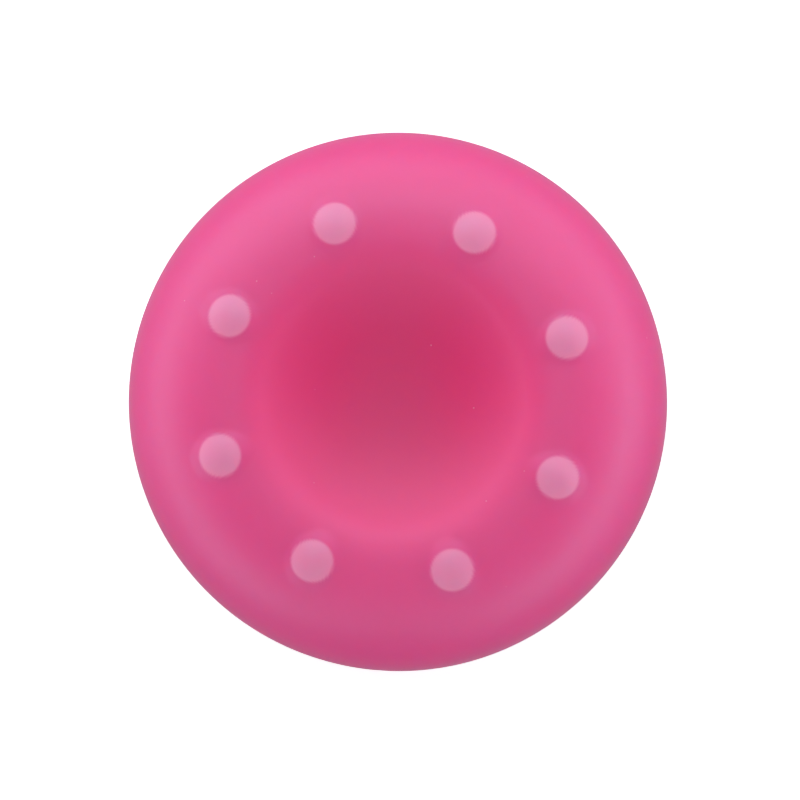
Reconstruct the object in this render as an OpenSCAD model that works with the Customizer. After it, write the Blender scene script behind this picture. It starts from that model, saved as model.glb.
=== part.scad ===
// Round handheld facial cleansing brush with a soft silicone skin.
// It lies on its bristles: the brush face looks down and the dished grip side, with its
// ring of eight nubs, looks up (+Z). The charging socket looks along -Y.
// Units are millimetres. The origin is under the centre of the body, at the bristle tips.

/* [Body] */
// Outside diameter of the body
body_d = 75; // [74:0.5:77]
// Height of the body from the brush face to the crest of the grip ring
body_h = 30; // [30:0.5:32]
// Radius of the rounded corner between the side and the brush face
face_corner = 10; // [9:0.5:10.5]
// Radius of the crest circle that runs round the dish
crest_r = 22.5; // [21.5:0.5:23]
// Steepest slope of the dish wall, in degrees
dish_slope = 30; // [27:1:32]
// Rounding radius where the dish wall runs over the crest
dish_fillet = 9; // [7:0.5:10]
// Thickness of the silicone skin
skin_t = 2; // [1.8:0.1:2.2]
// Thickness of the hard inner shells
shell_t = 1.8; // [1.6:0.1:1.9]

/* [Nubs] */
// Number of nubs round the dish
nub_count = 8; // [6:1:8]
// Radius of the circle that the nubs stand on
nub_ring_r = 25.2; // [24.8:0.1:25.8]
// Radius of a nub where it leaves the skin
nub_r = 3; // [2.6:0.1:3.2]
// Height of a nub above the skin
nub_h = 0.8; // [0.7:0.1:1.1]
// Thickness of the skin over the hard pip inside a nub
nub_skin_t = 1.2; // [1:0.1:1.4]

/* [Bristles] */
// Height of a bristle
bristle_h = 4; // [3.5:0.1:4.5]
// Distance between neighbouring bristles and between their rings
bristle_pitch = 2.6; // [2.6:0.1:3.2]
// Radius of the bristled disc
brush_r = 26; // [24:0.5:26.5]
// Radius of the field of fine bristles in the middle
fine_field_r = 17; // [12:1:20]
// Root radius of a fine bristle
fine_r = 0.55; // [0.45:0.05:0.6]
// Root radius of a coarse bristle
coarse_r = 0.85; // [0.7:0.05:0.95]

/* [Button and board] */
// Radius of the push button under the middle of the dish
button_r = 6; // [5.5:0.1:6.5]
// Travel of the push button
button_travel = 0.5; // [0.3:0.1:0.5]
// Radius of the circuit board
board_r = 25; // [24:0.5:25]
// Thickness of the circuit board
board_t = 1.2; // [1:0.1:1.6]

/* [Battery and motor] */
// Length, width and thickness of the lithium pouch cell
battery_size = [30, 20, 8];
// Radius of the motor can
motor_r = 6; // [5:0.5:6]
// Length of the motor can
motor_len = 16; // [14:1:16]
// Radius of the motor shaft
motor_shaft_r = 0.75; // [0.6:0.05:1]
// Radius of the eccentric weight
weight_r = 5; // [4:0.5:5.2]

/* [Charging socket] */
// Bore radius of the charging socket, for a 2.4 mm needle plug
socket_r = 1.25; // [1.25:0.01:1.3]
// Length of the socket's metal sleeve
socket_len = 8.45; // [7:0.05:9]

/* [Hidden] */
$fn = 96;

// Gaps between pieces
fit_gap = 0.05;
seam_gap = 0.1;
slide_gap = 0.3;
run_gap = 0.03;

// Levels and radii of the body
body_r = body_d / 2;
side_r = body_r - crest_r;
face_z = bristle_h;
crest_z = face_z + body_h;
equator_z = crest_z - side_r;
corner_z = face_z + face_corner;
seam_chamfer = 0.3;

// The dish is a sphere that runs into the crest fillet, with no step between them
dish_r = crest_r / sin(dish_slope) - dish_fillet;
dish_centre_z = crest_z - dish_fillet + (dish_fillet + dish_r) * cos(dish_slope);

// Insets of the layers under the outer surface
shell_out = skin_t + fit_gap;
shell_in = shell_out + shell_t;
wall_r = body_r - shell_in;
floor_z = face_z + shell_in;

// Beads that hold the covers on the shells
bead_h = 0.8;
bead_depth = 0.5;
bead_offset = 2.4;

// Sealing ring between the shells, and the lip that centres them
seal_r = 0.5;
seal_ring_r = body_r - shell_out - shell_t / 2;
lip_t = 1;
lip_h = 1.5;
lip_r = wall_r - 0.25;

// Screws that hold the shells together
case_screw_ring_r = 29;
case_screw_count = 4;
case_boss_r = 3;
case_screw_r = 1.25;
case_head_r = 2.2;
case_head_h = 1.8;
case_screw_len = 13;
case_seat_z = face_z + 6.2;

// Board, its standoffs and what stands on it
board_z = floor_z + 10.15;
board_top = board_z + board_t;
board_edge_y = -4.6;
standoff_r = 2.2;
standoff_places = [[-20, 4], [20, 4], [0, 22.3]];
board_screw_r = 1;
board_head_r = 1.8;
board_head_h = 1.2;
board_screw_len = 6;
switch_w = 6;
switch_h = 3.4;
stem_r = 1.75;
stem_top = board_top + switch_h + 0.9;
led_y = 15;
pipe_r = 1.5;

// Button: its top follows the dish, and its flange stops against the shell
button_flange_r = button_r + 1.6;
button_hole_r = button_r + slide_gap;
shell_dish_r = dish_r + shell_in;
flange_top = dish_centre_z - sqrt(shell_dish_r * shell_dish_r - button_hole_r * button_hole_r) - 0.1;
flange_t = 0.7;

// Battery
tape_t = 0.5;
battery_y = 9.5;
battery_z = floor_z + tape_t;
battery_edge = 2;

// Motor: its axis runs along X
motor_y = -12;
motor_z = floor_z + 0.6 + motor_r;
motor_x = -9;
can_t = 0.6;
end_cap_t = 2;
magnet_t = 0.9;
armature_r = 4;
armature_len = 9;
armature_x = motor_x + 4;
weight_t = 4;
weight_x = motor_x + motor_len + 1.6;
shaft_end = weight_x + weight_t + 0.4;
clamp_w = 5;
clamp_t = 1;
clamp_x = motor_x + 5.5;
clamp_foot = 9.1;
clamp_foot_len = 5;
clamp_foot_z = floor_z + 3.2;
clamp_screw_r = 1;
clamp_head_r = 1.8;
clamp_head_h = 1.2;
clamp_screw_len = 4;

// Charging socket: its axis runs along -Y
socket_z = corner_z + 1;
socket_wall = 0.95;
socket_sleeve_r = socket_r + socket_wall;
socket_mouth_y = -(body_r - shell_out - 0.1);
socket_boss_r = 3.8;
socket_seat_y = -(wall_r - 1.6);
socket_flange_r = 3.4;
socket_flange_t = 1.2;
plug_hole_r = socket_r + 0.2;
socket_seal_r = 0.42;
insulator_r = 3;
insulator_end = 1.5;

// Leads
lead_r = 0.45;
lead_sides = 8;

// Control points of the leads
battery_lead_routes = [
    [[15.1, 11, 12.3], [16.6, 11, 12.5], [17.6, 11, 14.4], [17.3, 11, 16.6], [17.3, 11, 17.9]],
    [[15.1, 14, 12.3], [16.6, 14, 12.5], [17.6, 14, 14.4], [17.3, 14, 16.6], [17.3, 14, 17.9]]
];
motor_lead_routes = [
    [[-11.1, -10, 14.5], [-13, -9.8, 14.6], [-14.6, -8, 15.2], [-15, -3.2, 16.6], [-15, -3, 17.85]],
    [[-11.1, -14, 14.5], [-14, -13.8, 14.7], [-16.8, -10, 15.4], [-17.2, -3.2, 16.6],
     [-17.2, -3, 17.85]]
];
socket_lead_routes = [
    [[1.4, -25.2, 15], [1.6, -24.2, 15.2], [9, -22.6, 16.4], [15.5, -18.4, 16.6], [18.2, -12, 16.7],
     [18.2, -4.6, 16.8], [18.2, -3.3, 17.85]],
    [[-1.4, -25.2, 15], [-1.3, -24.2, 15.4], [4, -21.4, 17.2], [12.5, -18.6, 17.2], [16.4, -12, 17],
     [16.2, -4.6, 16.8], [16.2, -3.3, 17.85]]
];

pink = [0.87, 0.37, 0.57];
white_plastic = [0.92, 0.92, 0.9];
steel = [0.75, 0.76, 0.78];

// ---------- profiles: half sections in the X-Z plane, turned round Z ----------

// A quarter disc whose centre is at c, on the side that dx and dy point to.
module quarter_disc(c, r, dx, dy) {
    intersection() {
        translate(c) circle(r);
        translate([c.x + min(dx, 0) * 2 * r, c.y + min(dy, 0) * 2 * r]) square(2 * r);
    }
}

// The space that the dish takes out of the upper half, down to the surface at this inset.
module dish_section(inset) {
    reach = 2 * dish_r;
    fillet_centre = [crest_r, crest_z - dish_fillet];
    intersection() {
        translate([0, dish_centre_z]) circle(dish_r + inset);
        polygon([
            [0, dish_centre_z], [0, dish_centre_z - reach],
            [reach * sin(dish_slope), dish_centre_z - reach * cos(dish_slope)]
        ]);
    }
    difference() {
        polygon([fillet_centre, [crest_r, dish_centre_z], [0, dish_centre_z]]);
        translate(fillet_centre) circle(dish_fillet - inset);
    }
}

// Upper half of the body, with its surface moved inwards by inset, from level low up.
module upper_section(inset, low) {
    translate([0, low]) square([body_r - inset, equator_z - low]);
    quarter_disc([crest_r, equator_z], side_r - inset, 1, 1);
    difference() {
        translate([0, equator_z]) square([crest_r, side_r - inset]);
        dish_section(inset);
    }
}

// Upper half that stops at the seam plane.
module upper_half_section(inset) {
    intersection() {
        upper_section(inset, equator_z - 1);
        translate([0, equator_z + seam_gap / 2]) square([body_r, body_h]);
    }
}

// Lower half of the body, with its surface moved inwards by inset, up to level high.
module lower_section(inset, high) {
    translate([0, corner_z]) square([body_r - inset, high - corner_z]);
    quarter_disc([body_r - face_corner, corner_z], face_corner - inset, 1, -1);
    translate([0, face_z + inset]) square([body_r - face_corner, face_corner - inset]);
}

// A small triangle that breaks the outer edge of a cover at the seam; up is 1 or -1.
module seam_edge_section(up) {
    polygon([
        [body_r - seam_chamfer, equator_z], [body_r + 1, equator_z],
        [body_r + 1, equator_z + up * (seam_chamfer + 1)]
    ]);
}

// The bead inside a cover, or with more, the groove for it in a shell.
module bead_section(up, more = 0) {
    middle = equator_z + up * bead_offset;
    translate([body_r - skin_t - bead_depth - more, middle - bead_h / 2 - more])
        square([bead_depth + 1 + more, bead_h + 2 * more]);
}

// ---------- repeated shapes ----------

// Copies its children n times round Z.
module round_z(n, first = 0) {
    for (i = [0 : n - 1]) rotate([0, 0, first + i * 360 / n]) children();
}

// Places its children on the nub circle, with +Z along the skin's normal and the origin
// at the centre of the nub's sphere.
module at_nubs() {
    lean = asin((nub_ring_r - crest_r) / side_r);
    sphere_r = nub_sphere_r();
    depth = sphere_r - nub_h;
    round_z(nub_count, 180 / nub_count)
        translate([crest_r, 0, equator_z]) rotate([0, lean, 0])
            translate([0, 0, side_r - depth]) children();
}

function nub_sphere_r() = (nub_r * nub_r + nub_h * nub_h) / (2 * nub_h);

function pip_sphere_r() = nub_sphere_r() - nub_skin_t;

// A cylinder along X.
module rod_x(r, x0, x1) { translate([x0, 0, 0]) rotate([0, 90, 0]) cylinder(r = r, h = x1 - x0); }

// A cylinder along Y.
module rod_y(r, y0, y1) { translate([0, y0, 0]) rotate([-90, 0, 0]) cylinder(r = r, h = y1 - y0); }

// A pan-head screw that points down from its seat at the origin.
module screw(shank_r, len, head_r, head_h) {
    socket_depth = head_h * 0.6;
    difference() {
        union() {
            translate([0, 0, -len]) cylinder(r = shank_r, h = len + 0.2);
            cylinder(r = head_r, h = head_h);
        }
        for (turn = [0, 90]) rotate([0, 0, turn])
            translate([-head_r * 0.6, -head_r * 0.14, head_h - socket_depth])
                cube([head_r * 1.2, head_r * 0.28, head_h]);
    }
}

// A plate with rounded corners, centred on Z.
module rounded_plate(size, corner) {
    translate([-size.x / 2 + corner, -size.y / 2, 0]) cube([size.x - 2 * corner, size.y, size.z]);
    translate([-size.x / 2, -size.y / 2 + corner, 0]) cube([size.x, size.y - 2 * corner, size.z]);
    for (sx = [-1, 1], sy = [-1, 1])
        translate([sx * (size.x / 2 - corner), sy * (size.y / 2 - corner), 0])
            cylinder(r = corner, h = size.z);
}

// ---------- leads: a round wire swept along a smooth route ----------

function unit(v) = v / norm(v);

// Points on a smooth curve through the control points p, with n points for each stretch.
function smooth(p, n) = [
    for (i = [0 : len(p) - 2], k = [0 : i == len(p) - 2 ? n : n - 1])
        let (
            a = p[max(i - 1, 0)], b = p[i], c = p[i + 1], d = p[min(i + 2, len(p) - 1)],
            t = k / n
        )
        0.5 * (2 * b + (c - a) * t + (2 * a - 5 * b + 4 * c - d) * t * t
               + (3 * b - a - 3 * c + d) * t * t * t)
];

function direction(p, i) = unit(p[min(i + 1, len(p) - 1)] - p[max(i - 1, 0)]);

// The sideways vector side, made square to direction d.
function squared(side, d) = unit(side - (side * d) * d);

module lead(route) {
    p = smooth(route, 4);
    n = len(p);
    start = squared([0.3, 0.4, 1], direction(p, 0));
    sides = [
        for (i = 0, u = start; i < n; i = i + 1, u = i < n ? squared(u, direction(p, i)) : u) u
    ];
    points = [
        for (i = [0 : n - 1], k = [0 : lead_sides - 1])
            let (a = 360 * k / lead_sides, d = direction(p, i))
            p[i] + lead_r * (cos(a) * sides[i] + sin(a) * cross(d, sides[i]))
    ];
    tube = [
        for (i = [0 : n - 2], k = [0 : lead_sides - 1])
            let (j = (k + 1) % lead_sides, a = i * lead_sides, b = a + lead_sides)
            [a + k, b + k, b + j, a + j]
    ];
    start_cap = [[for (k = [0 : lead_sides - 1]) k]];
    end_cap = [[for (k = [lead_sides - 1 : -1 : 0]) (n - 1) * lead_sides + k]];
    polyhedron(points, concat(start_cap, tube, end_cap));
}

// ---------- grip side ----------

// Upper silicone skin: the ring, the dish and the nubs.
module grip_cover() color(pink) {
    difference() {
        union() {
            rotate_extrude() difference() {
                upper_half_section(0);
                seam_edge_section(1);
            }
            at_nubs() sphere(r = nub_sphere_r());
        }
        difference() {
            rotate_extrude() upper_section(skin_t, equator_z - 1);
            rotate_extrude() bead_section(1);
        }
        at_nubs() sphere(r = pip_sphere_r() + fit_gap);
    }
}

// Upper hard shell, with a pip for each nub, the button hole and the screw bosses.
module grip_shell() color(white_plastic) {
    difference() {
        union() {
            difference() {
                union() {
                    rotate_extrude() upper_half_section(shell_out);
                    at_nubs() sphere(r = pip_sphere_r());
                }
                rotate_extrude() upper_section(shell_in, equator_z - 1);
            }
            intersection() {
                rotate_extrude() upper_half_section(shell_out);
                at_case_screws() translate([0, 0, equator_z]) cylinder(r = case_boss_r, h = body_h);
            }
        }
        rotate_extrude() bead_section(1, fit_gap);
        seal_groove();
        at_case_screws() translate([0, 0, equator_z - 1])
            cylinder(r = case_screw_r + fit_gap, h = case_seat_z + case_screw_len + 0.5 - equator_z + 1);
        cylinder(r = button_hole_r, h = crest_z);
        translate([0, led_y, 0]) cylinder(r = pipe_r + fit_gap, h = crest_z);
    }
}

// Clear rod that carries the light of the status lamp up to the skin.
module light_pipe() color([0.9, 0.95, 1, 0.5]) {
    intersection() {
        rotate_extrude() upper_section(shell_out, 0);
        translate([0, led_y, board_top + 1.2]) cylinder(r = pipe_r, h = body_h);
    }
    intersection() {
        rotate_extrude() upper_section(shell_in + fit_gap, 0);
        translate([0, led_y, board_top + 5.8]) cylinder(r = pipe_r + 0.7, h = body_h);
    }
}

// Push button under the skin in the middle of the dish.
module button_plunger() color([0.85, 0.85, 0.84]) {
    intersection() {
        rotate_extrude() upper_section(shell_out, 0);
        translate([0, 0, flange_top - flange_t]) cylinder(r = button_r, h = body_h);
    }
    translate([0, 0, flange_top - flange_t]) cylinder(r = button_flange_r, h = flange_t);
    translate([0, 0, stem_top + 0.02]) cylinder(r = 1.5, h = flange_top - stem_top - 0.02);
}

// Rubber ring that seals the joint of the two shells.
module case_seal() color([0.15, 0.15, 0.16])
    rotate_extrude() translate([seal_ring_r, equator_z]) circle(seal_r);

module seal_groove()
    rotate_extrude() translate([seal_ring_r, equator_z]) circle(seal_r + 0.02);

module at_case_screws()
    round_z(case_screw_count, 45) translate([case_screw_ring_r, 0, 0]) children();

// ---------- brush side ----------

// One bristle, pointing down from the brush face, with a rounded tip.
module bristle(root_r) {
    tip_r = root_r * 0.68;
    root = 0.6;
    rotate_extrude() polygon([
        [0, root], [root_r, root], [root_r, 0], [tip_r, -bristle_h + tip_r * 0.7],
        [tip_r * 0.7, -bristle_h + tip_r * 0.2], [tip_r * 0.35, -bristle_h], [0, -bristle_h]
    ]);
}

// Rings of bristles: fine ones in the middle and coarse ones round them.
module bristle_field() {
    rings = floor(brush_r / bristle_pitch);
    bristle(fine_r);
    for (ring = [1 : rings]) {
        ring_r = ring * bristle_pitch;
        fine = ring_r <= fine_field_r;
        pitch = fine ? bristle_pitch : bristle_pitch * 1.25;
        round_z(floor(2 * PI * ring_r / pitch), ring * 17)
            translate([ring_r, 0, 0]) bristle(fine ? fine_r : coarse_r);
    }
}

// Lower silicone skin: the side, the brush face and the bristles.
module brush_cover() color(pink) {
    difference() {
        union() {
            rotate_extrude() difference() {
                intersection() {
                    lower_section(0, equator_z);
                    translate([0, face_z]) square([body_r, equator_z - seam_gap / 2 - face_z]);
                }
                lower_section(skin_t, equator_z + 1);
                seam_edge_section(-1);
            }
            rotate_extrude() bead_section_inside();
            translate([0, 0, face_z]) bristle_field();
        }
        translate([0, 0, socket_z]) {
            rod_y(plug_hole_r, -body_r - 1, -body_r + skin_t + 1);
            rod_y(socket_sleeve_r + 1, -(body_r - skin_t - 0.1), -wall_r);
        }
    }
}

// The bead on the lower cover, joined into its wall.
module bead_section_inside() {
    translate([body_r - skin_t - bead_depth, equator_z - bead_offset - bead_h / 2])
        square([bead_depth + 0.5, bead_h]);
}

// Lower hard shell, which carries the motor, the battery, the board and the socket.
module brush_shell() color(white_plastic) {
    difference() {
        union() {
            difference() {
                rotate_extrude() shell_lower_section();
                rotate_extrude() lower_section(shell_in, equator_z + 1);
            }
            intersection() {
                rotate_extrude() lower_section(shell_out, equator_z + lip_h);
                union() {
                    at_case_screws() cylinder(r = case_boss_r, h = equator_z - seam_gap / 2);
                    for (place = standoff_places)
                        translate([place.x, place.y, 0]) cylinder(r = standoff_r, h = board_z);
                    motor_cradle();
                    battery_ribs();
                    translate([0, 0, socket_z]) rod_y(socket_boss_r, -wall_r - 0.5, socket_seat_y);
                }
            }
            rotate_extrude() lip_section();
        }
        rotate_extrude() bead_section(-1, fit_gap);
        seal_groove();
        at_case_screws() {
            cylinder(r = case_screw_r + fit_gap, h = crest_z);
            cylinder(r = case_head_r + 0.2, h = case_seat_z);
        }
        for (place = standoff_places)
            translate([place.x, place.y, board_top - board_screw_len - 0.5])
                cylinder(r = board_screw_r + fit_gap, h = board_screw_len);
        at_clamp_screws() translate([0, 0, -clamp_screw_len - 0.3])
            cylinder(r = clamp_screw_r + fit_gap, h = clamp_screw_len + 1);
        translate([0, 0, socket_z]) rod_y(socket_sleeve_r + fit_gap, -body_r, -wall_r + 3);
        socket_seal_ring(0.02);
    }
}

module shell_lower_section() {
    intersection() {
        lower_section(shell_out, equator_z);
        translate([0, face_z]) square([body_r, equator_z - seam_gap / 2 - face_z]);
    }
}

// The lip that stands inside the upper shell, and its root on the wall below the seam.
module lip_section() {
    translate([lip_r - lip_t, equator_z - 1.5]) square([lip_t, lip_h + 1.5]);
    translate([lip_r - lip_t, equator_z - 1.5]) square([wall_r - lip_r + lip_t + 0.2, 1.4]);
}

// Two saddles under the motor, and the posts for the clamp's screws.
module motor_cradle() {
    for (x = [motor_x + 2, motor_x + motor_len - 4]) difference() {
        translate([x, motor_y - motor_r - 1, floor_z - 0.5]) cube([1.6, 2 * motor_r + 2, 4.5]);
        translate([0, motor_y, motor_z]) rod_x(motor_r + fit_gap, x - 1, x + 3);
    }
    at_clamp_screws() translate([0, 0, floor_z - clamp_foot_z - clamp_t - 0.5])
        cylinder(r = 1.9, h = clamp_foot_z - floor_z + 0.5);
}

module at_clamp_screws()
    for (side = [-1, 1])
        translate([clamp_x + clamp_w / 2, motor_y + side * clamp_foot, clamp_foot_z + clamp_t])
            children();

// Low ribs that keep the battery in its place.
module battery_ribs() {
    half = [battery_size.x / 2 + 0.3, battery_size.y / 2 + 0.3];
    for (side = [-1, 1]) {
        translate([side * (half.x + 0.5) - 0.5, battery_y - 6, floor_z - 0.5]) cube([1, 8, 3]);
    }
    translate([-6, battery_y + half.y, floor_z - 0.5]) cube([12, 1, 3]);
}

// Self-tapping screws, driven from below into the upper shell.
module case_screws() color(steel)
    at_case_screws() translate([0, 0, case_seat_z]) rotate([180, 0, 0])
        screw(case_screw_r, case_screw_len, case_head_r, case_head_h);

// ---------- board ----------

// Half-moon circuit board.
module circuit_board() color([0.1, 0.35, 0.2]) {
    difference() {
        intersection() {
            translate([0, 0, board_z]) cylinder(r = board_r, h = board_t);
            translate([-board_r, board_edge_y, board_z - 1]) cube([2 * board_r, 2 * board_r, 5]);
        }
        for (place = standoff_places)
            translate([place.x, place.y, 0]) cylinder(r = board_screw_r + 0.1, h = crest_z);
    }
}

// Chips, coil and capacitors on the top of the board.
module board_parts() color([0.12, 0.12, 0.13]) {
    chips = [[-11, 3, 5, 5, 0.9], [10, 4, 4, 4, 0.9], [9, 12, 3, 3, 1.4], [-9, 12, 6, 3.4, 1.1]];
    for (c = chips) translate([c[0] - c[2] / 2, c[1] - c[3] / 2, board_top]) cube([c[2], c[3], c[4]]);
    for (i = [0 : 4]) translate([-15.4, 1 + i * 1.8, board_top]) cube([1.6, 0.8, 0.6]);
    for (i = [0 : 3]) translate([13.6, 2 + i * 2.1, board_top]) cube([1.6, 0.8, 0.6]);
}

// Status lamp under the light pipe.
module status_led() color([1, 1, 0.9])
    translate([-0.8, led_y - 0.8, board_top]) cube([1.6, 1.6, 0.7]);

module board_screws() color(steel)
    for (place = standoff_places) translate([place.x, place.y, board_top])
        screw(board_screw_r, board_screw_len, board_head_r, board_head_h);

// Housing of the tactile switch, with the bore that its stem slides in.
module switch_body() color([0.14, 0.14, 0.15]) {
    difference() {
        translate([-switch_w / 2, -switch_w / 2, board_top]) cube([switch_w, switch_w, switch_h]);
        translate([0, 0, board_top + 0.9]) cylinder(r = stem_r + 0.05, h = switch_h);
    }
}

module switch_stem() color([0.8, 0.75, 0.65])
    translate([0, 0, board_top + 0.9 + button_travel + 0.2])
        cylinder(r = stem_r, h = stem_top - board_top - 0.9 - button_travel - 0.2);

// ---------- battery ----------

module battery() color([0.7, 0.72, 0.75]) {
    size = battery_size;
    r = battery_edge;
    translate([0, battery_y, battery_z]) {
        translate([-size.x / 2, -size.y / 2 + r, 0]) cube([size.x, size.y - 2 * r, size.z]);
        translate([-size.x / 2, -size.y / 2, r]) cube([size.x, size.y, size.z - 2 * r]);
        for (sy = [-1, 1], z = [r, size.z - r])
            translate([0, sy * (size.y / 2 - r), z]) rod_x(r, -size.x / 2, size.x / 2);
    }
}

// Double-sided foam tape under the battery.
module battery_tape() color([0.95, 0.95, 0.92])
    translate([0, battery_y, floor_z]) rounded_plate([26, 14, tape_t], 1.5);

// Foam block that keeps the battery down.
module battery_foam() color([0.3, 0.3, 0.32])
    translate([0, battery_y, battery_z + battery_size.z])
        rounded_plate([20, 12, board_z - battery_z - battery_size.z], 1.5);

module battery_leads() color([0.8, 0.1, 0.1])
    for (route = battery_lead_routes) lead(route);

// ---------- vibration motor ----------

// Steel can, open at the brush end, with the front hole for the bushing.
module motor_can() color(steel)
    translate([0, motor_y, motor_z]) difference() {
        rod_x(motor_r, motor_x, motor_x + motor_len);
        rod_x(motor_r - can_t, motor_x - 1, motor_x + motor_len - can_t);
        rod_x(1.6 + fit_gap, motor_x + 1, motor_x + motor_len + 1);
    }

// Two curved magnets inside the can.
module motor_magnets() color([0.25, 0.25, 0.27])
    translate([0, motor_y, motor_z]) for (side = [0, 180])
        rotate([side, 0, 0]) translate([armature_x - 0.5, 0, 0]) rotate([0, 90, 0])
            rotate([0, 0, -60]) rotate_extrude(angle = 120)
                translate([motor_r - can_t - magnet_t - fit_gap, 0])
                    square([magnet_t, armature_len + 1]);

// Plastic cap that closes the can and holds the rear bearing.
module motor_end_cap() color([0.9, 0.9, 0.86])
    translate([0, motor_y, motor_z]) difference() {
        union() {
            rod_x(motor_r, motor_x - end_cap_t, motor_x);
            rod_x(motor_r - can_t - fit_gap, motor_x, motor_x + 1);
        }
        rod_x(motor_shaft_r + run_gap, motor_x - 1.2, motor_x + 2);
        rod_x(3, motor_x - 0.6, motor_x + 2);
    }

// Bronze bush in the front of the can.
module motor_bushing() color([0.72, 0.5, 0.25])
    translate([0, motor_y, motor_z]) difference() {
        union() {
            rod_x(1.6, motor_x + motor_len - can_t - 0.6, motor_x + motor_len + 0.6);
            rod_x(2.2, motor_x + motor_len - can_t - 0.9, motor_x + motor_len - can_t - fit_gap);
        }
        rod_x(motor_shaft_r + run_gap, motor_x, motor_x + motor_len + 2);
    }

module motor_shaft() color(steel)
    translate([0, motor_y, motor_z]) rod_x(motor_shaft_r, motor_x - 1, shaft_end);

// Three-pole iron core on the shaft.
module motor_armature() color([0.35, 0.35, 0.37])
    translate([0, motor_y, motor_z]) difference() {
        union() {
            rod_x(1.9, armature_x, armature_x + armature_len);
            for (turn = [0, 120, 240]) rotate([turn, 0, 0]) {
                translate([armature_x, -0.7, 1]) cube([armature_len, 1.4, 2.4]);
                intersection() {
                    difference() {
                        rod_x(armature_r, armature_x, armature_x + armature_len);
                        rod_x(armature_r - 0.8, armature_x - 1, armature_x + armature_len + 1);
                    }
                    translate([armature_x, -2.6, 0]) cube([armature_len, 5.2, armature_r + 1]);
                }
            }
        }
        rod_x(motor_shaft_r, armature_x - 1, armature_x + armature_len + 1);
    }

// Copper coils round the three poles.
module motor_windings() color([0.75, 0.4, 0.2])
    translate([0, motor_y, motor_z]) for (turn = [0, 120, 240]) rotate([turn, 0, 0])
        difference() {
            translate([armature_x - 0.7, -1.4, 1.95]) cube([armature_len + 1.4, 2.8, 0.8]);
            translate([armature_x - 0.02, -0.72, 1]) cube([armature_len + 0.04, 1.44, 3]);
        }

// Copper commutator behind the core.
module motor_commutator() color([0.8, 0.5, 0.25])
    translate([0, motor_y, motor_z]) difference() {
        rod_x(1.3, armature_x - 3.6, armature_x - 1);
        rod_x(motor_shaft_r, armature_x - 4, armature_x + 1);
        for (turn = [0, 120, 240]) rotate([turn, 0, 0])
            translate([armature_x - 4, -0.1, 1]) cube([2.8, 0.2, 1]);
    }

// Half-round tungsten weight, stored with its heavy side down.
module eccentric_weight() color([0.55, 0.55, 0.57])
    translate([0, motor_y, motor_z]) difference() {
        union() {
            intersection() {
                rod_x(weight_r, weight_x, weight_x + weight_t);
                translate([weight_x - 1, -weight_r, -weight_r]) cube([weight_t + 2, 2 * weight_r, weight_r]);
            }
            rod_x(1.8, weight_x, weight_x + weight_t);
        }
        rod_x(motor_shaft_r, weight_x - 1, weight_x + weight_t + 1);
    }

// Steel strap over the motor, with a foot on each side.
module motor_clamp() color([0.7, 0.71, 0.73])
    difference() {
        translate([clamp_x, motor_y, 0]) {
            inner = motor_r + fit_gap;
            translate([0, 0, motor_z]) difference() {
                rod_x(inner + clamp_t, 0, clamp_w);
                rod_x(inner, -1, clamp_w + 1);
                translate([-1, -motor_r * 2, -motor_r * 2]) cube([clamp_w + 2, motor_r * 4, motor_r * 2]);
            }
            for (side = [-1, 1]) {
                translate([0, side * (inner + clamp_t / 2) - clamp_t / 2, clamp_foot_z])
                    cube([clamp_w, clamp_t, motor_z - clamp_foot_z]);
                translate([0, side * (inner + clamp_foot_len / 2) - clamp_foot_len / 2, clamp_foot_z])
                    cube([clamp_w, clamp_foot_len, clamp_t]);
            }
        }
        at_clamp_screws() translate([0, 0, -3]) cylinder(r = clamp_screw_r + 0.1, h = 5);
    }

module clamp_screws() color(steel)
    at_clamp_screws() screw(clamp_screw_r, clamp_screw_len, clamp_head_r, clamp_head_h);

module motor_leads() color([0.1, 0.2, 0.7])
    for (route = motor_lead_routes) lead(route);

// ---------- charging socket ----------

// Metal sleeve with a flange that rests inside the shell's wall.
module charge_socket() color([0.85, 0.75, 0.45])
    translate([0, 0, socket_z]) difference() {
        union() {
            rod_y(socket_sleeve_r, socket_mouth_y, socket_mouth_y + socket_len);
            rod_y(socket_flange_r, socket_seat_y + fit_gap, socket_seat_y + fit_gap + socket_flange_t);
        }
        rod_y(socket_r, socket_mouth_y - 1, socket_mouth_y + socket_len + 1);
    }

// Plastic body round the inner end of the sleeve, closed behind it.
module socket_insulator() color([0.13, 0.13, 0.14])
    translate([0, 0, socket_z]) difference() {
        rod_y(insulator_r, socket_seat_y + 2 * fit_gap + socket_flange_t,
              socket_mouth_y + socket_len + insulator_end);
        rod_y(socket_sleeve_r + fit_gap, -wall_r, socket_mouth_y + socket_len + fit_gap);
        rod_y(0.9 + fit_gap, -wall_r, socket_mouth_y + socket_len + 0.6);
    }

// Contact that the needle plug's tip presses on.
module tip_contact() color([0.9, 0.75, 0.35])
    translate([0, 0, socket_z])
        rod_y(0.9, socket_mouth_y + socket_len + 0.1, socket_mouth_y + socket_len + 0.6);

module socket_seal_ring(more)
    translate([0, -(wall_r + shell_t / 2), socket_z]) rotate([90, 0, 0])
        rotate_extrude() translate([socket_sleeve_r + socket_seal_r, 0]) circle(socket_seal_r + more);

// Rubber ring between the sleeve and the shell.
module socket_seal() color([0.15, 0.15, 0.16]) socket_seal_ring(0);

module socket_leads() color([0.1, 0.1, 0.1])
    for (route = socket_lead_routes) lead(route);

// ---------- what is drawn ----------

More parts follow.
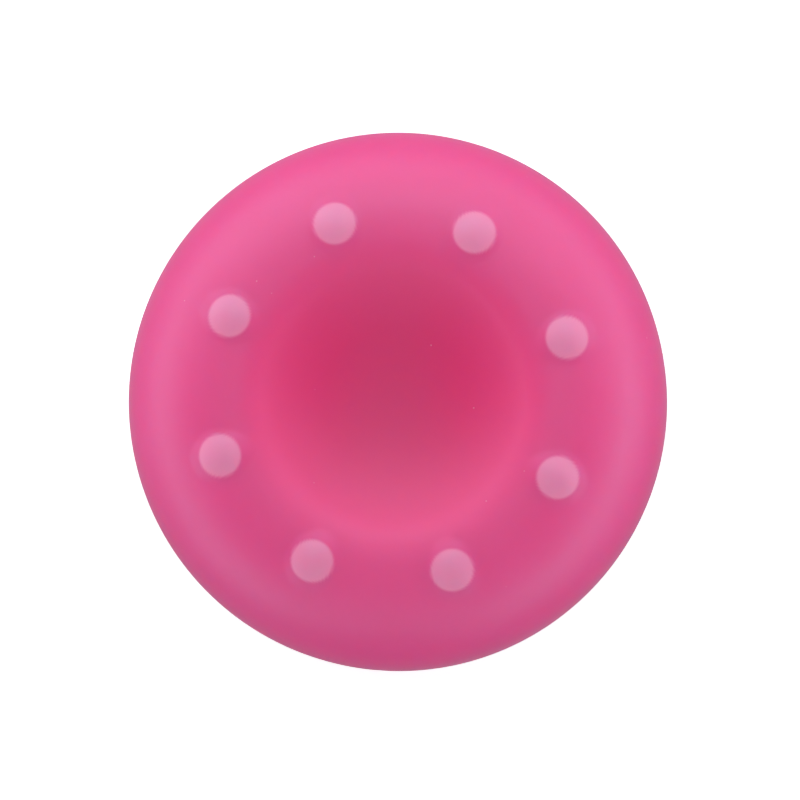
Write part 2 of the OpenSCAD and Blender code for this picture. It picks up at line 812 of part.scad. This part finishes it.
grip_cover();
grip_shell();
light_pipe();
button_plunger();
case_seal();
brush_cover();
brush_shell();
case_screws();
circuit_board();
board_parts();
status_led();
board_screws();
switch_body();
switch_stem();
battery();
battery_tape();
battery_foam();
battery_leads();
motor_can();
motor_magnets();
motor_end_cap();
motor_bushing();
motor_clamp();
clamp_screws();
motor_leads();
motor_shaft();
motor_armature();
motor_windings();
motor_commutator();
eccentric_weight();
charge_socket();
socket_insulator();
tip_contact();
socket_seal();
socket_leads();
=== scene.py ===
"""Looks of the facial cleansing brush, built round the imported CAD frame. Everything is in metres."""

import math

import bmesh
import bpy
import numpy as np
from mathutils import Matrix, Vector


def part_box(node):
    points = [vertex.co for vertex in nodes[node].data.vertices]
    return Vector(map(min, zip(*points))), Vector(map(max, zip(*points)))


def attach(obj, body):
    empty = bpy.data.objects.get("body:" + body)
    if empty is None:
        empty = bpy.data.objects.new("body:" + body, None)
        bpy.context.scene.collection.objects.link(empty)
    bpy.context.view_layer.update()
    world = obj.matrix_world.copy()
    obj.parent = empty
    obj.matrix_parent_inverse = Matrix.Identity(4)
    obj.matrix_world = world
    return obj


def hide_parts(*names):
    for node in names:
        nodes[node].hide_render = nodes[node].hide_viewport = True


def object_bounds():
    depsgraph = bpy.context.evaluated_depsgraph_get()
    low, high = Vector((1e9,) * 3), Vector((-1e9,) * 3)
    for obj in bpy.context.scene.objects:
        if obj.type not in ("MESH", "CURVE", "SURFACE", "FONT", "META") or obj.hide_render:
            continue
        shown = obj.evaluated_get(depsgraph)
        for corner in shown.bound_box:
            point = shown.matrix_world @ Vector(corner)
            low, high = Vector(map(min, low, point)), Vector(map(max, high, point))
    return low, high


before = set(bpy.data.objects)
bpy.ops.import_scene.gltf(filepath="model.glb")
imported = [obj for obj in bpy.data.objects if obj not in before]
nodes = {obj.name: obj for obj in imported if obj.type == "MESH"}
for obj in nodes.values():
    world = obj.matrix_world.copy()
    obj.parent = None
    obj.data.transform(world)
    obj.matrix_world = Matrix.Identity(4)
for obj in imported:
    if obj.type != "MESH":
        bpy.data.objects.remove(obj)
cad_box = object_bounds()
MM = 0.001

# ---------- sizes: the outline that part.scad gives the two skins ----------

grip_low, grip_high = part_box("grip_cover")
brush_low, brush_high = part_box("brush_cover")
socket_low, socket_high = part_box("charge_socket")

BODY_R = grip_high.x
EQUATOR_Z = (grip_low.z + brush_high.z) / 2
SEAM_GAP = grip_low.z - brush_high.z
SEAM_ROUND = 0.35 * MM
CREST_R = 22.5 * MM
SIDE_R = BODY_R - CREST_R
CREST_Z = EQUATOR_Z + SIDE_R
DISH_SLOPE = math.radians(30)
DISH_FILLET = 9 * MM
DISH_R = CREST_R / math.sin(DISH_SLOPE) - DISH_FILLET
DISH_CENTRE_Z = CREST_Z - DISH_FILLET + (DISH_FILLET + DISH_R) * math.cos(DISH_SLOPE)
BRISTLE_H = 4 * MM
FACE_Z = brush_low.z + BRISTLE_H
CORNER_R = 10 * MM
CORNER_Z = FACE_Z + CORNER_R
SKIN_T = 2 * MM

NUB_COUNT = 8
NUB_RING_R = 25.2 * MM
NUB_R = 3 * MM
NUB_H = 0.8 * MM
NUB_SPHERE_R = (NUB_R**2 + NUB_H**2) / (2 * NUB_H)
NUB_CENTRE = SIDE_R - (NUB_SPHERE_R - NUB_H)
NUB_BLEND = 0.7 * MM
NUB_SKIN_T = 1.2 * MM
POCKET_GAP = 0.05 * MM
POCKET_R = NUB_SPHERE_R - NUB_SKIN_T + POCKET_GAP
POCKET_BLEND = 0.1 * MM

BRISTLE_PITCH = 2.6 * MM
BRUSH_R = 26 * MM
FINE_FIELD_R = 17 * MM
FINE_R = 0.55 * MM
COARSE_R = 0.85 * MM
COARSE_SPREAD = 1.25  # spacing of the coarse bristles, in pitches
RING_TWIST = 17  # degrees from one ring of bristles to the next
BRISTLE_TAPER = 0.62  # tip radius over root radius
BRISTLE_FLARE = 0.25 * MM
BRISTLE_ROOT = 0.3 * MM

SOCKET_Z = (socket_low.z + socket_high.z) / 2
PLUG_HOLE_R = 1.45 * MM
PLUG_HOLE_LIP = 0.35 * MM
PLUG_HOLE_SINK = 0.9 * PLUG_HOLE_LIP  # how deep the lip's curve starts under the flank

SEGMENTS = 480  # round the body; a multiple of the nub count


# ---------- camera: straight above the dish, a little towards +X and -Y ----------

CAMERA_DISTANCE = 1.2
CAMERA_LEAN_X = math.radians(2.4)
CAMERA_LEAN_Y = math.radians(2.4)
CAMERA_ROLL = math.radians(3.8)
BODY_SHARE = 0.673  # of the frame's width that the body takes
SENSOR = 36


def make_camera():
    data = bpy.data.cameras.new("camera")
    camera = bpy.data.objects.new("camera", data)
    bpy.context.scene.collection.objects.link(camera)
    back = Vector((math.sin(CAMERA_LEAN_X), -math.sin(CAMERA_LEAN_Y), 1)).normalized()
    target = Vector((0, 0, EQUATOR_Z))
    right = Vector((0, 1, 0)).cross(back).normalized()
    facing = Matrix((right, back.cross(right), back)).transposed()
    camera.rotation_mode = "QUATERNION"
    camera.rotation_quaternion = (facing @ Matrix.Rotation(CAMERA_ROLL, 3, "Z")).to_quaternion()
    camera.location = target + back * CAMERA_DISTANCE
    data.sensor_width = SENSOR
    data.lens = SENSOR * CAMERA_DISTANCE * BODY_SHARE / (2 * BODY_R)
    data.clip_start, data.clip_end = 0.05, 50
    data.shift_x, data.shift_y = 0.003, 0.0018
    bpy.context.scene.camera = camera


make_camera()


# ---------- node helpers ----------


def new_material(name):
    material = bpy.data.materials.new(name)
    material.use_nodes = True
    tree = material.node_tree
    return material, tree, tree.nodes["Principled BSDF"]


def set_inputs(shader, values):
    """Sets constants on the shader's own sockets."""
    for name, value in values.items():
        shader.inputs[name].default_value = value


def node(tree, kind, **values):
    """Adds a node; values are its properties, or its inputs where the name is one."""
    made = tree.nodes.new(kind)
    for key, value in values.items():
        name = key.replace("_", " ")
        if name in made.inputs:
            made.inputs[name].default_value = value
        else:
            setattr(made, key, value)
    return made


def ramp(tree, source, stops):
    """A colour ramp on a value; stops are (position, grey or colour)."""
    made = tree.nodes.new("ShaderNodeValToRGB")
    tree.links.new(source, made.inputs["Fac"])
    elements = made.color_ramp.elements
    while len(elements) < len(stops):
        elements.new(0.5)
    for element, (position, colour) in zip(elements, stops):
        element.position = position
        element.color = (*(colour if isinstance(colour, tuple) else (colour,) * 3), 1)
    return made.outputs["Color"]


def mix(tree, factor, a, b, blend="MIX"):
    """Mixes two colours; each of factor, a and b is a value or a socket."""
    made = tree.nodes.new("ShaderNodeMix")
    made.data_type = "RGBA"
    made.blend_type = blend
    for name, given in (("Factor", factor), ("A", a), ("B", b)):
        for socket in made.inputs:
            if socket.name == name and socket.type == ("VALUE" if name == "Factor" else "RGBA"):
                if isinstance(given, bpy.types.NodeSocket):
                    tree.links.new(given, socket)
                else:
                    socket.default_value = given if name == "Factor" else (*given, 1)
    return next(s for s in made.outputs if s.type == "RGBA")


def coordinates(tree, stretch=(1, 1, 1)):
    """Object coordinates in millimetres, scaled further by stretch."""
    where = tree.nodes.new("ShaderNodeTexCoord")
    scaled = tree.nodes.new("ShaderNodeMapping")
    scaled.inputs["Scale"].default_value = [s / MM for s in stretch]
    tree.links.new(where.outputs["Object"], scaled.inputs["Vector"])
    return scaled.outputs["Vector"]


def noise(tree, where, per_mm, detail=3, rough=0.5):
    made = node(tree, "ShaderNodeTexNoise", Scale=per_mm, Detail=detail, Roughness=rough)
    tree.links.new(where, made.inputs["Vector"])
    return made.outputs["Fac"]


def between(tree, source, low, high):
    """Maps a value of 0 to 1 onto low to high."""
    made = node(tree, "ShaderNodeMapRange", To_Min=low, To_Max=high)
    tree.links.new(source, made.inputs["Value"])
    return made.outputs["Result"]


def bump(tree, shader, height, distance, strength=1.0, below=None):
    made = node(tree, "ShaderNodeBump", Strength=strength, Distance=distance)
    tree.links.new(height, made.inputs["Height"])
    if below is not None:
        tree.links.new(below, made.inputs["Normal"])
    tree.links.new(made.outputs["Normal"], shader.inputs["Normal"])
    return made.outputs["Normal"]


# ---------- the skins' silicone ----------

SKIN_COLOUR = (0.85, 0.064, 0.275)
SKIN_DEEP = (0.82, 0.056, 0.26)
# The next colour is painted shade: the darker, deeper pink of the light caught in the dish.
DISH_SHADE_COLOUR = (0.84, 0.008, 0.165)
PIP_COLOUR = (0.98, 0.235, 0.43)
SPECK_COLOUR = (0.9, 0.5, 0.62)
SKIN_ROUGHNESS = (0.5, 0.56)

# Painted shade: the dish is coloured a darker, deeper pink for the light caught in it, and this gives
# way to the skin's colour with the distance from the axis.
DISH_SHADE_FADE_R = 40  # mm, where the ramp ends
DISH_SHADE_FADE = [(0.25, 0.0), (0.42, 0.25), (0.55, 0.75), (0.85, 1.0)]

# The pale disc of a nub: its outer edge and its soft border, over the nub's radius.
PIP_EDGE = 1.06
PIP_BORDER = 0.16

SILICONE = {
    "IOR": 1.5,
    "Specular IOR Level": 1.0,
    "Specular Tint": (0.05, 0.8, 1, 1),
    "Subsurface Weight": 0.8,
    "Subsurface Radius": (1.3, 0.25, 0.4),
    "Subsurface Scale": 2.0 * MM,
    "Sheen Weight": 0.24,
    "Sheen Roughness": 0.35,
    "Sheen Tint": (0.6, 0.95, 0.9, 1),
}


def silicone(name, with_pips_and_dish_shade):
    """Soft matte translucent silicone; the flag adds painted shade in the dish (a darker, deeper pink
    for the light caught there) and the nubs' pale discs.
    """
    material, tree, shader = new_material(name)
    where = coordinates(tree)
    cloud = noise(tree, where, 0.12, detail=2)
    colour = mix(tree, cloud, SKIN_DEEP, SKIN_COLOUR)
    if with_pips_and_dish_shade:
        # Painted shade: towards the axis, in the dish, the skin turns darker and deeper pink.
        away = node(tree, "ShaderNodeVectorMath", operation="LENGTH")
        tree.links.new(coordinates(tree, (1 / DISH_SHADE_FADE_R, 1 / DISH_SHADE_FADE_R, 0)), away.inputs["Vector"])
        colour = mix(tree, ramp(tree, away.outputs["Value"], DISH_SHADE_FADE), DISH_SHADE_COLOUR, colour)
        pip = node(tree, "ShaderNodeAttribute", attribute_name="pip")
        colour = mix(tree, pip.outputs["Fac"], colour, PIP_COLOUR)
    dust = node(tree, "ShaderNodeTexVoronoi", Scale=0.22)
    tree.links.new(where, dust.inputs["Vector"])
    speck = ramp(tree, dust.outputs["Distance"], [(0.0, 0.5), (0.02, 0.3), (0.03, 0.0)])
    tree.links.new(mix(tree, speck, colour, SPECK_COLOUR), shader.inputs["Base Color"])

    rough = between(tree, noise(tree, where, 0.25, detail=2), *SKIN_ROUGHNESS)
    tree.links.new(rough, shader.inputs["Roughness"])
    set_inputs(shader, SILICONE)

    grain = bump(tree, shader, noise(tree, where, 9, detail=4, rough=0.6), 0.02 * MM, 0.5)
    bump(tree, shader, noise(tree, where, 0.6, detail=2), 0.08 * MM, 0.35, below=grain)
    return material


# ---------- mesh helpers ----------


def arc(centre, radius, start, end, count):
    """Points of an arc in the (rho, z) half plane; angles in degrees from +rho towards +z."""
    angles = np.radians(np.linspace(start, end, count))
    return [(centre[0] + radius * math.cos(a), centre[1] + radius * math.sin(a)) for a in angles]


def line(start, end, count):
    return [tuple(p) for p in np.linspace(start, end, count)]


def joined(*stretches):
    """One path of several stretches, without the doubled points where they meet."""
    path = []
    for stretch in stretches:
        for point in stretch:
            if not path or math.dist(point, path[-1]) > 1e-7:
                path.append(point)
    return path


def revolve(path, segments):
    """Turns a path that starts and ends on the axis into a closed mesh: (vertices, faces)."""
    rings = np.array(path[1:-1])
    angles = np.arange(segments) * 2 * math.pi / segments
    cos, sin = np.cos(angles), np.sin(angles)
    x, y = np.outer(rings[:, 0], cos), np.outer(rings[:, 0], sin)
    z = np.repeat(rings[:, 1:], segments, 1)
    points = np.stack([x, y, z], -1).reshape(-1, 3)
    vertices = np.vstack([[(0, 0, path[0][1])], points, [(0, 0, path[-1][1])]])
    last, count = len(vertices) - 1, len(rings)
    at = lambda ring, k: 1 + ring * segments + k % segments
    faces = [(0, at(0, k), at(0, k + 1)) for k in range(segments)]
    for ring in range(count - 1):
        for k in range(segments):
            faces.append((at(ring, k), at(ring + 1, k), at(ring + 1, k + 1), at(ring, k + 1)))
    faces += [(at(count - 1, k + 1), at(count - 1, k), last) for k in range(segments)]
    return vertices, faces


def make_object(name, vertices, faces, material, outwards=True):
    mesh = bpy.data.meshes.new(name)
    mesh.from_pydata([tuple(v) for v in vertices], [], faces)
    if outwards:
        work = bmesh.new()
        work.from_mesh(mesh)
        bmesh.ops.recalc_face_normals(work, faces=work.faces)
        work.to_mesh(mesh)
        work.free()
    mesh.shade_smooth()
    mesh.materials.append(material)
    made = bpy.data.objects.new(name, mesh)
    bpy.context.scene.collection.objects.link(made)
    return made


# ---------- upper skin ----------


def dish_half(inset, fine):
    """From the axis up the dish and over its fillet to the crest, this far inside the surface."""
    slope = math.degrees(DISH_SLOPE)
    dish = arc((0, DISH_CENTRE_Z), DISH_R + inset, -90, -90 + slope, fine)
    fillet = arc((CREST_R, CREST_Z - DISH_FILLET), DISH_FILLET - inset, 90 + slope, 90, fine)
    return joined(dish, fillet)


def grip_path():
    low = EQUATOR_Z + SEAM_GAP / 2
    inner_r = BODY_R - SKIN_T
    return joined(
        dish_half(0, 26),
        arc((CREST_R, EQUATOR_Z), SIDE_R, 90, 50, 40),
        arc((CREST_R, EQUATOR_Z), SIDE_R, 50, 3, 30),
        arc((BODY_R - SEAM_ROUND, low + SEAM_ROUND), SEAM_ROUND, 0, -90, 7),
        line((BODY_R - SEAM_ROUND, low), (inner_r, low), 5),
        line((inner_r, low), (inner_r, low + SEAM_ROUND), 2),
        arc((CREST_R, EQUATOR_Z), SIDE_R - SKIN_T, 3, 50, 12),
        arc((CREST_R, EQUATOR_Z), SIDE_R - SKIN_T, 50, 90, 36),
        dish_half(SKIN_T, 12)[::-1],
    )


def smooth_max(a, b, blend):
    near = np.maximum(blend - np.abs(a - b), 0) / blend
    return np.maximum(a, b) + near * near * blend / 4


def raise_nubs(vertices):
    """Lifts the nubs out of the crest ring, hollows a pocket under each, and says where they are."""
    pip = np.zeros(len(vertices))
    lean = math.asin((NUB_RING_R - CREST_R) / SIDE_R)
    ring_radius = np.hypot(vertices[:, 0], vertices[:, 1])
    from_tube = np.hypot(ring_radius - CREST_R, vertices[:, 2] - EQUATOR_Z)
    outer = from_tube > SIDE_R - SKIN_T / 2
    for k in range(NUB_COUNT):
        turn = (k + 0.5) * 2 * math.pi / NUB_COUNT
        out = np.array([math.cos(turn), math.sin(turn), 0])
        axis = out * math.sin(lean) + np.array([0, 0, math.cos(lean)])
        start = out * CREST_R + np.array([0, 0, EQUATOR_Z])
        along = (vertices - start) @ axis
        aside = np.linalg.norm(vertices - start - np.outer(along, axis), axis=1)
        for radius, blend, chosen in (
            (NUB_SPHERE_R, NUB_BLEND, outer),
            (POCKET_R, POCKET_BLEND, ~outer),
        ):
            near = chosen & (aside < radius * 1.4) & (along > 0)
            a, d = along[near], aside[near]
            cap = np.sqrt(np.maximum(radius**2 - d**2, 0)) - 3 * np.maximum(d - radius, 0)
            lifted = smooth_max(a, NUB_CENTRE + cap, blend)
            vertices[near] += np.outer(lifted - a, axis)
        fade = np.clip((NUB_R * PIP_EDGE - aside) / (NUB_R * PIP_BORDER), 0, 1)
        pip = np.where(outer & (along > 0), np.maximum(pip, fade * fade * (3 - 2 * fade)), pip)
    return pip


def make_grip_skin():
    vertices, faces = revolve(grip_path(), SEGMENTS)
    pip = raise_nubs(vertices)
    skin = make_object("grip_skin", vertices, faces, silicone("silicone_grip", True))
    mask = skin.data.attributes.new("pip", "FLOAT", "POINT")
    mask.data.foreach_set("value", pip.astype(np.float32))
    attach(skin, "case")
    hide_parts("grip_cover")


# ---------- lower skin with its bristles ----------


def brush_path():
    high = EQUATOR_Z - SEAM_GAP / 2
    inner_r = BODY_R - SKIN_T
    corner = (BODY_R - CORNER_R, CORNER_Z)
    return joined(
        line((0, FACE_Z), (corner[0], FACE_Z), 20),
        arc(corner, CORNER_R, -90, 0, 30),
        line((BODY_R, CORNER_Z), (BODY_R, high - SEAM_ROUND), 12),
        arc((BODY_R - SEAM_ROUND, high - SEAM_ROUND), SEAM_ROUND, 0, 90, 7),
        line((BODY_R - SEAM_ROUND, high), (inner_r, high), 5),
        line((inner_r, high), (inner_r, CORNER_Z), 10),
        arc(corner, CORNER_R - SKIN_T, 0, -90, 16),
        line((corner[0], FACE_Z + SKIN_T), (0, FACE_Z + SKIN_T), 8),
    )


def cut_plug_hole(skin):
    """Cuts the hole for the charging plug, with a rounded lip, through the side of the skin."""
    lip = arc((PLUG_HOLE_R + PLUG_HOLE_LIP, -PLUG_HOLE_SINK), PLUG_HOLE_LIP, 180, 90, 7)
    path = joined(
        [(0, -3 * SKIN_T), (PLUG_HOLE_R, -3 * SKIN_T)],
        lip,
        [(PLUG_HOLE_R + 2 * PLUG_HOLE_LIP, SKIN_T), (0, SKIN_T)],
    )
    vertices, faces = revolve(path, 48)
    cutter = make_object("plug_hole_cutter", vertices, faces, skin.data.materials[0])
    mouth = Matrix.Translation((0, -BODY_R, SOCKET_Z))
    cutter.data.transform(mouth @ Matrix.Rotation(math.pi / 2, 4, "X"))
    cut = skin.modifiers.new("plug_hole", "BOOLEAN")
    cut.operation, cut.solver, cut.object = "DIFFERENCE", "EXACT", cutter
    apply_modifiers(skin)
    bpy.data.objects.remove(cutter)


def apply_modifiers(piece):
    graph = bpy.context.evaluated_depsgraph_get()
    mesh = bpy.data.meshes.new_from_object(piece.evaluated_get(graph))
    piece.modifiers.clear()
    piece.data = mesh
    mesh.shade_smooth()


def bristle_path(root_r):
    """A tapered bristle that hangs from z = 0: a flared root, a straight side and a round tip."""
    tip_r = root_r * BRISTLE_TAPER
    flare_top = root_r + BRISTLE_FLARE
    flared = arc((flare_top, -BRISTLE_FLARE), BRISTLE_FLARE, 90, 180, 5)
    return joined(
        [(0, BRISTLE_ROOT), (flare_top, BRISTLE_ROOT)],
        flared,
        line((root_r, -BRISTLE_FLARE), (tip_r, -BRISTLE_H + tip_r), 6),
        arc((0, -BRISTLE_H + tip_r), tip_r, 0, -90, 8),
    )


def bristle_places():
    """(x, y, root radius) of each bristle: rings of fine ones, and coarse ones round them."""
    places = [(0, 0, FINE_R)]
    for ring in range(1, int(BRUSH_R / BRISTLE_PITCH + 1e-6) + 1):
        ring_r = ring * BRISTLE_PITCH
        fine = ring_r <= FINE_FIELD_R
        pitch = BRISTLE_PITCH * (1 if fine else COARSE_SPREAD)
        count = math.floor(2 * math.pi * ring_r / pitch)
        for k in range(count):
            a = math.radians(ring * RING_TWIST + k * 360 / count)
            root_r = FINE_R if fine else COARSE_R
            places.append((ring_r * math.cos(a), ring_r * math.sin(a), root_r))
    return places


def make_brush_skin():
    material = silicone("silicone_brush", False)
    vertices, faces = revolve(brush_path(), SEGMENTS)
    skin = make_object("brush_skin", vertices, faces, material)
    cut_plug_hole(skin)
    shapes = {r: revolve(bristle_path(r), 20) for r in (FINE_R, COARSE_R)}
    all_vertices, all_faces = [], []
    for x, y, root_r in bristle_places():
        shape, shape_faces = shapes[root_r]
        first = sum(len(v) for v in all_vertices)
        all_vertices.append(shape + np.array([x, y, FACE_Z]))
        all_faces += [tuple(first + i for i in face) for face in shape_faces]
    bristles = make_object("bristles", np.vstack(all_vertices), all_faces, material)
    for piece in (skin, bristles):
        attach(piece, "case")
        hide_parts("brush_cover")


make_grip_skin()
make_brush_skin()


# ---------- materials of the inner parts ----------


def finish(name, dark, light, rough, grain, relief=0.0, stretch=(1, 1, 1), metallic=0.0, field=None):
    """A surface whose colour, gloss and relief follow one field: noise, or the given pattern."""
    material, tree, shader = new_material(name)
    where = coordinates(tree, stretch)
    value = (field or noise)(tree, where, grain)
    tree.links.new(mix(tree, value, dark, light), shader.inputs["Base Color"])
    wear = between(tree, noise(tree, where, grain * 0.4), *rough)
    tree.links.new(wear, shader.inputs["Roughness"])
    shader.inputs["Metallic"].default_value = metallic
    if relief:
        bump(tree, shader, value, relief * MM, 0.5)
    return material


def cells(tree, where, per_mm):
    """Open cells, as in foam."""
    made = node(tree, "ShaderNodeTexVoronoi", Scale=per_mm)
    tree.links.new(where, made.inputs["Vector"])
    return made.outputs["Distance"]


def bands(axis, waviness=0.0):
    """Fine parallel bands across one axis, as in stacked plates or wound wire."""

    def field(tree, where, per_mm):
        made = node(tree, "ShaderNodeTexWave", wave_type="BANDS", bands_direction=axis,
                    Scale=per_mm, Distortion=waviness)
        tree.links.new(where, made.inputs["Vector"])
        return made.outputs["Fac"]

    return field


def tracks(tree, where, per_mm):
    """Copper tracks under a board's lacquer: the edges of blocks in rows."""
    made = node(tree, "ShaderNodeTexBrick", offset=0.35, Scale=per_mm, Mortar_Size=0.06)
    for colour in ("Color1", "Color2"):
        made.inputs[colour].default_value = (0, 0, 0, 1)
    made.inputs["Mortar"].default_value = (1, 1, 1, 1)
    tree.links.new(where, made.inputs["Vector"])
    return made.outputs["Color"]


def clear_plastic():
    """Clear acrylic with faint haze."""
    pale = ((0.93, 0.95, 0.97), (0.98, 0.98, 0.98))
    material = finish("clear_plastic", *pale, (0.08, 0.16), 1.2, 0.004)
    shader = material.node_tree.nodes["Principled BSDF"]
    set_inputs(shader, {"IOR": 1.49, "Transmission Weight": 0.9})
    return material


def wire(name, dark, light):
    return finish(name, dark, light, (0.38, 0.5), 1.5, 0.01)


def metal(name, dark, light, rough=(0.25, 0.4), stretch=(0.15, 1, 1), field=None, grain=6):
    return finish(name, dark, light, rough, grain, 0.006, stretch, metallic=1.0, field=field)


def dress_inner_parts():
    looks = {
        finish("shell_plastic", (0.76, 0.76, 0.74), (0.82, 0.82, 0.80), (0.42, 0.55), 3, 0.01):
            ["grip_shell", "brush_shell"],
        finish("button_plastic", (0.66, 0.66, 0.65), (0.73, 0.73, 0.72), (0.4, 0.5), 3, 0.01):
            ["button_plunger"],
        clear_plastic(): ["light_pipe"],
        finish("seal_rubber", (0.02, 0.02, 0.022), (0.035, 0.035, 0.038), (0.6, 0.75), 5, 0.015):
            ["case_seal", "socket_seal"],
        metal("screw_steel", (0.52, 0.53, 0.55), (0.66, 0.67, 0.69), stretch=(1, 1, 0.2)):
            ["case_screws", "board_screws", "clamp_screws"],
        metal("strap_steel", (0.50, 0.51, 0.52), (0.62, 0.63, 0.64), (0.3, 0.45)): ["motor_clamp"],
        finish("board_laminate", (0.008, 0.085, 0.035), (0.05, 0.22, 0.09), (0.3, 0.42), 0.35, 0.02,
               field=tracks): ["circuit_board"],
        finish("component_body", (0.018, 0.018, 0.02), (0.045, 0.045, 0.048), (0.45, 0.6), 4, 0.01):
            ["board_parts", "switch_body", "socket_insulator"],
        finish("led_lens", (0.85, 0.78, 0.35), (0.92, 0.90, 0.72), (0.2, 0.35), 2.5, 0.005):
            ["status_led"],
        finish("stem_plastic", (0.58, 0.46, 0.30), (0.68, 0.56, 0.40), (0.4, 0.5), 3, 0.008):
            ["switch_stem"],
        finish("cell_pouch", (0.52, 0.54, 0.57), (0.72, 0.73, 0.75), (0.25, 0.42), 0.5, 0.12,
               metallic=0.85): ["battery"],
        finish("foam_white", (0.70, 0.70, 0.68), (0.85, 0.85, 0.82), (0.8, 0.95), 2.2, 0.1,
               field=cells): ["battery_tape"],
        finish("foam_grey", (0.05, 0.05, 0.055), (0.11, 0.11, 0.12), (0.85, 0.95), 2.2, 0.15,
               field=cells): ["battery_foam"],
        wire("lead_red", (0.45, 0.015, 0.015), (0.58, 0.03, 0.025)): ["battery_leads"],
        wire("lead_blue", (0.01, 0.03, 0.35), (0.02, 0.05, 0.46)): ["motor_leads"],
        wire("lead_black", (0.012, 0.012, 0.013), (0.03, 0.03, 0.032)): ["socket_leads"],
        metal("can_steel", (0.55, 0.56, 0.57), (0.68, 0.69, 0.70), (0.22, 0.34)): ["motor_can"],
        finish("magnet_ferrite", (0.04, 0.04, 0.045), (0.08, 0.08, 0.085), (0.6, 0.75), 5, 0.02):
            ["motor_magnets"],
        finish("cap_plastic", (0.72, 0.71, 0.64), (0.80, 0.79, 0.72), (0.4, 0.52), 3, 0.01):
            ["motor_end_cap"],
        metal("bush_bronze", (0.42, 0.24, 0.08), (0.55, 0.34, 0.14), (0.4, 0.55), (1, 1, 1)):
            ["motor_bushing"],
        metal("shaft_steel", (0.60, 0.61, 0.62), (0.74, 0.75, 0.76), (0.15, 0.25)): ["motor_shaft"],
        metal("core_iron", (0.16, 0.16, 0.17), (0.32, 0.32, 0.33), (0.4, 0.55), (1, 1, 1),
              bands("X"), 1.3): ["motor_armature"],
        metal("coil_copper", (0.45, 0.16, 0.05), (0.72, 0.34, 0.14), (0.3, 0.45), (1, 1, 1),
              bands("Y", 0.4), 2.2): ["motor_windings", "motor_commutator"],
        metal("weight_metal", (0.22, 0.22, 0.23), (0.34, 0.34, 0.35), (0.4, 0.55), (1, 1, 1)):
            ["eccentric_weight"],
        metal("socket_brass", (0.58, 0.42, 0.14), (0.74, 0.58, 0.26), (0.2, 0.34), (1, 0.2, 1)):
            ["charge_socket", "tip_contact"],
    }
    for material, names in looks.items():
        for name in names:
            mesh = nodes[name].data
            mesh.materials.clear()
            mesh.materials.append(material)


dress_inner_parts()


# ---------- stage and lights ----------

FLOOR_HALF = 6
FLOOR_DROP = 0.2 * MM
FLOOR_GLOW = 0.6
AMBIENT = 0.16


def make_floor():
    """Plain white paper. It lights nothing, because the photo shows no light from below."""
    material, tree, shader = new_material("floor_paper")
    where = coordinates(tree)
    tint = mix(tree, noise(tree, where, 0.02), (0.95, 0.95, 0.95), (0.97, 0.97, 0.97))
    tree.links.new(tint, shader.inputs["Base Color"])
    tree.links.new(tint, shader.inputs["Emission Color"])
    set_inputs(shader, {"Roughness": 0.9, "Specular IOR Level": 0.1, "Emission Strength": FLOOR_GLOW})
    corners = np.array([(-1, -1, 0), (1, -1, 0), (1, 1, 0), (-1, 1, 0)]) * FLOOR_HALF
    floor = make_object("floor", corners, [(0, 1, 2, 3)], material, outwards=False)
    floor.location.z = cad_box[0].z - FLOOR_DROP
    floor.visible_diffuse = floor.visible_glossy = False


# Softboxes: (azimuth, elevation, width, height, radiance). Azimuth 0 is at -Y and 90 at +X.
SOFTBOXES = [
    (45, 8, 0.8, 0.25, 3.9),
    (90, 8, 0.8, 0.25, 4.9),
    (135, 8, 0.8, 0.25, 3.5),
    (180, 8, 0.8, 0.25, 3.0),
    (225, 8, 0.8, 0.25, 3.5),
    (270, 8, 0.8, 0.25, 4.4),
    (315, 8, 0.8, 0.25, 3.9),
    (0, 25, 0.75, 0.35, 1.4),
    (225, 25, 0.75, 0.35, 1.0),
    (135, 45, 0.6, 0.35, 1.9),
    (180, 45, 0.6, 0.35, 3.3),
    (225, 45, 0.6, 0.35, 1.8),
    (0, 55, 0.6, 0.35, 1.1),
    (180, 68, 0.4, 0.4, 0.8),
    (0, 89, 0.4, 0.4, 1.7),
]
SOFTBOX_DISTANCE = 1.0


def softbox(azimuth, elevation, width, height, radiance):
    """A rectangular area light that faces the body and that the camera doesn't see."""
    data = bpy.data.lights.new("softbox", "AREA")
    data.shape = "RECTANGLE"
    data.size, data.size_y = width, height
    data.energy = radiance * math.pi * width * height
    light = bpy.data.objects.new("softbox", data)
    bpy.context.scene.collection.objects.link(light)
    a, e = math.radians(azimuth), math.radians(elevation)
    away = Vector((math.sin(a) * math.cos(e), -math.cos(a) * math.cos(e), math.sin(e)))
    light.location = Vector((0, 0, EQUATOR_Z)) + away * SOFTBOX_DISTANCE
    light.rotation_mode = "QUATERNION"
    light.rotation_quaternion = away.to_track_quat("Z", "Y")
    light.visible_camera = False


def make_lights():
    for box in SOFTBOXES:
        softbox(*box)
    world = bpy.data.worlds.new("studio")
    world.use_nodes = True
    background = world.node_tree.nodes["Background"]
    set_inputs(background, {"Color": (0.95, 0.95, 0.96, 1), "Strength": AMBIENT})
    bpy.context.scene.world = world
    bpy.context.scene.view_settings.view_transform = "Standard"


make_floor()
make_lights()
